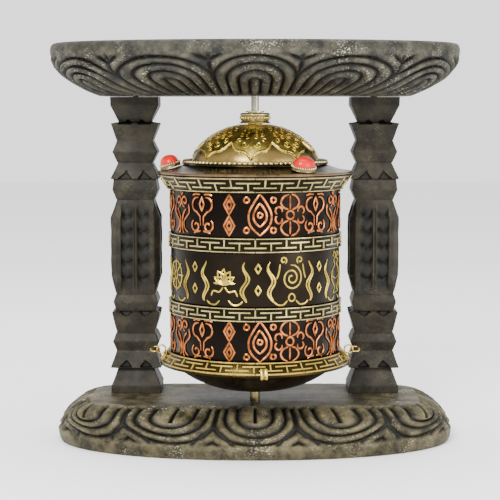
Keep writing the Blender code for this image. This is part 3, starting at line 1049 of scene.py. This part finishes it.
def dome_point(angle, share, lift=0.0):
    """A point of the dome; share runs from its eye to its foot along the outline."""
    turn = pi / 2 * share
    rise = cos(turn)
    r = DOME_EYE + (DOME_FOOT - DOME_EYE) * (1 - rise ** DOME_BULGE) ** DOME_SHOULDER
    z = DOME_LOW.z + (DOME_HIGH.z - DOME_LOW.z) * rise
    slope = Vector((sin(turn) ** 2, cos(turn) + 0.1)).normalized()
    r += slope.x * lift
    z += slope.y * lift
    return Vector((r * sin(angle), AXIS_Y - r * cos(angle), z))


def make_dome():
    """The dome, with the lobed collar raised on it and curls chased in each lobe."""
    steps, rows = 512, 96
    points, heights = [], []
    for i in range(rows + 1):
        share = i / rows
        for j in range(steps):
            angle = TAU * j / steps
            gap = lobe_edge(angle) - share
            collar = smoothstep(-0.008, 0.010, gap)
            cord = exp(-((gap - 0.018) / 0.013) ** 2)
            lift = -0.0009 + 0.0006 * collar + 0.0003 * cord
            points.append(dome_point(angle, share, lift))
            heights.append(min(1.0, 0.34 + 0.30 * collar + 0.40 * cord))
    faces = grid_faces(rows + 1, steps)
    piece("lid_dome_shell", points, faces, GILT, heights,
          stands_for=("lid_dome",))
    strokes = []
    for lobe in range(LOBES):
        centre = lobe
        for sign in (-1, 1):
            for u, v, size, start, turns in (
                    (0.15, 0.66, 0.068, 90, 1.4), (0.31, 0.58, 0.052, 0, 1.2),
                    (0.13, 0.51, 0.060, 200, 1.3), (0.30, 0.45, 0.056, 60, 1.2),
                    (0.14, 0.37, 0.054, 120, 1.2), (0.31, 0.32, 0.046, 250, 1.1),
                    (0.16, 0.25, 0.042, 10, 1.0)):
                curl = spiral(0, 0, 0.15, 1.0, start, turns, 14)
                strokes.append((
                    [(centre + sign * (u + x * size * 1.5), v + y * size) for x, y in curl], False))
        bud = arc(0, 0, 1.0, 0, 330, 11)
        strokes.append(([(centre + x * 0.035, 0.745 + y * 0.03) for x, y in bud], True))
        strokes.append(([(centre, 0.70), (centre, 0.56), (centre, 0.42), (centre, 0.28)], False))

    def place(cell, share, rise):
        return dome_point(DOME_TURN + TAU * cell / LOBES, share, -0.00025 + rise)

    stroke_piece("lid_dome_curls", strokes, place, 0.00023, GILT, 6, 1.0)


def bead_circle(name, radius, height, size, count, stands_for=(), place=None, tall=1.0):
    """A ring of round beads; place moves it from the origin's XY plane."""
    form = bmesh.new()
    for i in range(count):
        a = TAU * i / count
        spot = Matrix.Translation((radius * sin(a), -radius * cos(a), height))
        spot = spot @ Matrix.Rotation(a, 4, "Z") @ Matrix.Diagonal((1, 1, tall, 1))
        bmesh.ops.create_uvsphere(form, u_segments=10, v_segments=7, radius=size, matrix=spot)
    mesh = bpy.data.meshes.new(name)
    form.to_mesh(mesh)
    form.free()
    mesh.transform(place or Matrix.Translation((0, AXIS_Y, 0)))
    return settle(name, mesh, BRASS, stands_for=stands_for)


# The lid's shoulder, and how far the lid falls over how far out.
LID_SHOULDER = 0.0395
LID_HEIGHT = 0.156
LID_FALL = (3.8, 13.5)


def make_lid():
    low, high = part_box("drum_lid")
    rim = outer_radius("drum_lid")
    top, under = [], []
    for i in range(15):
        t = i / 14
        r = LID_SHOULDER + (rim - 0.0004 - LID_SHOULDER) * t
        sag = 0.0006 * sin(pi * t)
        z = LID_HEIGHT + (low.z + 0.0014 - LID_HEIGHT) * t - sag
        top.append((r, z))
        under.append((r - 0.0002, z - 0.0008))
    profile = [(0.033, high.z)] + top + [(rim, low.z + 0.0008), (rim - 0.0002, low.z + 0.0002)]
    profile += under[::-1] + [(0.033, high.z - 0.001)]
    turned("drum_lid_sheet", profile, BRONZE, ("drum_lid",),
           DRUM_STEPS, True,
           worn=lambda r: 0.45 + 0.5 * smoothstep(rim - 0.004, rim, r))
    bead_low, bead_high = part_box("lid_bead_ring")
    radius = outer_radius("lid_bead_ring") - 0.0012
    bead_circle("lid_beads", radius, (bead_low.z + bead_high.z) / 2, 0.00132, 88,
                ("lid_bead_ring",), tall=0.92)
    turned("lid_bead_seat", rounded([
        (radius - 0.0016, bead_low.z + 0.0009), (radius + 0.0016, bead_low.z + 0.0009),
        (radius + 0.0018, bead_low.z + 0.0001), (radius - 0.0018, bead_low.z + 0.0001)], 3),
        BRASS, (), 128, True, worn=0.2)


def make_crown():
    low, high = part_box("crown_collar")
    bore = 0.0042
    profile = rounded([
        (bore, high.z), (0.0075, high.z), (0.0083, high.z - 0.0006), (0.0083, high.z - 0.0012),
        (0.0077, high.z - 0.0016), (0.0077, low.z + 0.0023), (0.0082, low.z + 0.0019),
        (0.0074, low.z + 0.0013), (0.0080, low.z + 0.0007), (0.0090, low.z), (bore, low.z)], 3)
    turned("crown_neck", profile, BRASS, ("crown_collar",), 96, True,
           worn=lambda r: 0.3 + 0.6 * smoothstep(0.0072, 0.0083, r))
    bead_circle("crown_beads", 0.0078, high.z - 0.0026, 0.00082, 26)


# The circle that the stones stand on, how far they are squeezed, and the gem's own size.
STONE_CIRCLE = 0.046
STONE_SQUEEZE = 0.82
STONE_RADIUS = 0.0062
STONE_HEIGHT = 0.0048
STONE_SEAT = 0.0022
STONE_ROUND = 0.92


def stone_frame(node):
    """A stone's place on the lid, found from its bezel: its centre and its lean."""
    centre = middle(node)
    out = Vector((centre.x, centre.y - AXIS_Y, 0))
    angle = atan2(out.x, -out.y)
    around = Matrix.Rotation(angle, 4, "Z")
    lean = Matrix.Rotation(atan2(*LID_FALL), 4, "X")
    drop = (STONE_CIRCLE - LID_SHOULDER) * LID_FALL[0] / LID_FALL[1]
    out = Matrix.Translation((0, -STONE_CIRCLE, LID_HEIGHT - drop + 0.0003))
    squeeze = Matrix.Diagonal((1, STONE_SQUEEZE, 1, 1))
    return Matrix.Translation((0, AXIS_Y, 0)) @ around @ out @ lean @ squeeze


def make_stones():
    for place in ("front", "left", "rear"):
        at = stone_frame("bezel_" + place)
        cup = rounded([(0.0001, 0.0009), (0.0063, 0.0009), (0.0065, 0.0021), (0.0068, 0.0021),
                       (0.0069, 0.0007), (0.0071, 0.0003), (0.0070, 0.0), (0.0001, 0.0)], 3)
        turned("bezel_cup_" + place, cup, BRASS, ("bezel_" + place,), 64,
               place=at, worn=0.5)
        bead_circle("bezel_teeth_" + place, 0.0066, 0.0018, 0.00062, 32, place=at,
                    tall=1.3)
        gem = [(0.0001, STONE_SEAT + STONE_HEIGHT)]
        for i in range(1, 17):
            turn = pi / 2 * i / 16
            gem.append((STONE_RADIUS * sin(turn) ** STONE_ROUND,
                        STONE_SEAT + STONE_HEIGHT * cos(turn) ** STONE_ROUND))
        gem += [(0.0061, 0.0013), (0.0001, 0.0013)]
        turned("coral_stone_" + place, gem, CORAL, ("coral_" + place,), 64,
               place=at)


# Rod, links, clasp, screws.

def make_rod():
    low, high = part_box("spindle_rod")
    r = outer_radius("spindle_rod")
    bevel = 0.0004
    turned("spindle", [
        (0.0001, high.z), (r - bevel, high.z), (r, high.z - bevel), (r, low.z + bevel),
        (r - bevel, low.z), (0.0001, low.z)], STEEL, ("spindle_rod",), 48, body="frame")
    low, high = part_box("stop_collar")
    r = outer_radius("stop_collar")
    ring = rounded([(0.0022, high.z), (r, high.z), (r, low.z), (0.0022, low.z)], 3)
    turned("thrust_collar", ring, BRASS, ("stop_collar",), 48, True,
           worn=0.5, body="frame")


def wire_ring(name, radius, wire, place, body, node):
    """A round wire ring in its own XY plane, slightly flattened where it was closed."""
    points = []
    around, section = 56, 12
    for i in range(around):
        a = TAU * i / around
        swell = 1.0 - 0.10 * exp(-((a - pi) / 0.35) ** 2)
        for j in range(section):
            b = TAU * j / section
            r = radius + wire * swell * cos(b)
            spot = (r * cos(a), r * sin(a), wire * swell * sin(b))
            points.append(place @ Vector(spot))
    faces = []
    for i in range(around):
        for j in range(section):
            k, n = (j + 1) % section, (i + 1) % around
            faces.append((i * section + j, n * section + j, n * section + k, i * section + k))
    return piece(name, points, faces, SKIRT_BRASS, None, (node,), body)


def make_links():
    for side in ("left", "right"):
        eye = middle(side + "_eyelet")
        upright = Matrix.Translation(eye) @ Matrix.Rotation(pi / 2, 4, "X")
        wire_ring(side + "_eye", 0.0023, 0.00045, upright, "wheel", side + "_eyelet")
        ring = middle(side + "_link")
        tilt = Matrix.Translation(ring) @ Matrix.Rotation(radians(25), 4, "X")
        wire_ring(side + "_chain_link", 0.00245, 0.0004, tilt, side + "_link", side + "_link")


def make_clasp():
    """The strap over the skirt ring, with a raised rib down each edge."""
    outline = [(50.35, 51.2), (52.65, 48.25), (52.65, 46.9), (50.9, 46.9), (50.9, 46.1),
               (52.9, 46.1), (53.45, 46.6), (53.45, 48.5), (51.0, 51.7)]
    turn = radians(5.0)
    rows = (-1.8, -1.6, -1.0, -0.6, 0.6, 1.0, 1.6, 1.8)
    rib = (0.75, 1.0, 1.0, 0.6, 0.6, 1.0, 1.0, 0.75)
    points = []
    for u, lift in zip(rows, rib):
        for k, (r, z) in enumerate(outline):
            if k >= 5:
                r = r - 0.6 * (1 - lift)
            across = Vector((u, -r)) * MM
            x = across.x * cos(turn) - across.y * sin(turn)
            y = across.x * sin(turn) + across.y * cos(turn)
            points.append((x, AXIS_Y + y, z * MM))
    span = len(outline)
    points, faces = capped_grid([points[i * span:(i + 1) * span] for i in range(len(rows))])
    heights = [lift * 0.75 for lift in rib for _ in outline]
    piece("clasp_strap", points, faces, SKIRT_BRASS, heights,
          stands_for=("ring_clasp",))


def give(mat, *names):
    """A carried-over CAD node keeps its shape and gets a finished material."""
    for name in names:
        mesh = nodes[name].data
        mesh.materials.clear()
        mesh.materials.append(mat)
        mark = mesh.attributes.new("relief", "FLOAT", "POINT")
        mark.data.foreach_set("value", np.full(len(mesh.vertices), 0.8, np.float32))


# Stage.

CAMERA_DISTANCE = 0.8085
CAMERA_HEIGHT = 0.1859
LENS = 106.3
LOOK_AT = Vector((-0.00275, AXIS_Y, 0.1089))


def make_camera():
    data = bpy.data.cameras.new("camera")
    data.lens = LENS
    data.sensor_width = 36.0
    camera = bpy.data.objects.new("camera", data)
    bpy.context.scene.collection.objects.link(camera)
    camera.location = (LOOK_AT.x, AXIS_Y - CAMERA_DISTANCE, CAMERA_HEIGHT)
    aim = (LOOK_AT - camera.location).to_track_quat("-Z", "Y")
    camera.rotation_euler = aim.to_euler()
    bpy.context.scene.camera = camera


def soft_light(name, place, size, power, colour=(1, 1, 1)):
    data = bpy.data.lights.new(name, "AREA")
    data.shape = "RECTANGLE"
    data.size = size[0]
    data.size_y = size[1]
    data.energy = power
    data.color = colour
    lamp = bpy.data.objects.new(name, data)
    bpy.context.scene.collection.objects.link(lamp)
    lamp.location = place
    lamp.rotation_euler = (Vector((0, 0, 0.1)) - lamp.location).to_track_quat("-Z", "Y").to_euler()


def make_stage():
    mesh = bpy.data.meshes.new("floor")
    reach = 3.0
    corners = [(x * reach, y * reach, 0) for x, y in ((-1, -1), (1, -1), (1, 1), (-1, 1))]
    mesh.from_pydata(corners, [], [(0, 1, 2, 3)])
    floor = bpy.data.objects.new("floor", mesh)
    bpy.context.scene.collection.objects.link(floor)
    floor.location.z = -0.0002
    mat, _, shader = material("pale_floor", 0.9)
    shader.inputs["Base Color"].default_value = (0.90, 0.90, 0.90, 1)
    mesh.materials.append(mat)
    world = bpy.data.worlds.new("studio")
    world.use_nodes = True
    world.node_tree.nodes["Background"].inputs["Color"].default_value = (1, 1, 1, 1)
    world.node_tree.nodes["Background"].inputs["Strength"].default_value = 1.8
    bpy.context.scene.world = world
    soft_light("key", (-0.30, -0.85, 0.70), (0.35, 0.35), 16)
    soft_light("fill", (0.75, -0.55, 0.30), (0.5, 0.5), 7)
    soft_light("top", (0.0, 0.1, 1.0), (0.8, 0.6), 8)


make_boards()
make_posts()
make_drum()
make_dome()
make_lid()
make_crown()
make_stones()
make_rod()
make_links()
make_clasp()
give(STEEL, "base_screw_left", "base_screw_right", "top_screw_left", "top_screw_right")
give(BRASS, "lower_bush", "upper_bush", "inner_tube")
give(PAPER, "prayer_scroll")
make_camera()
make_stage()
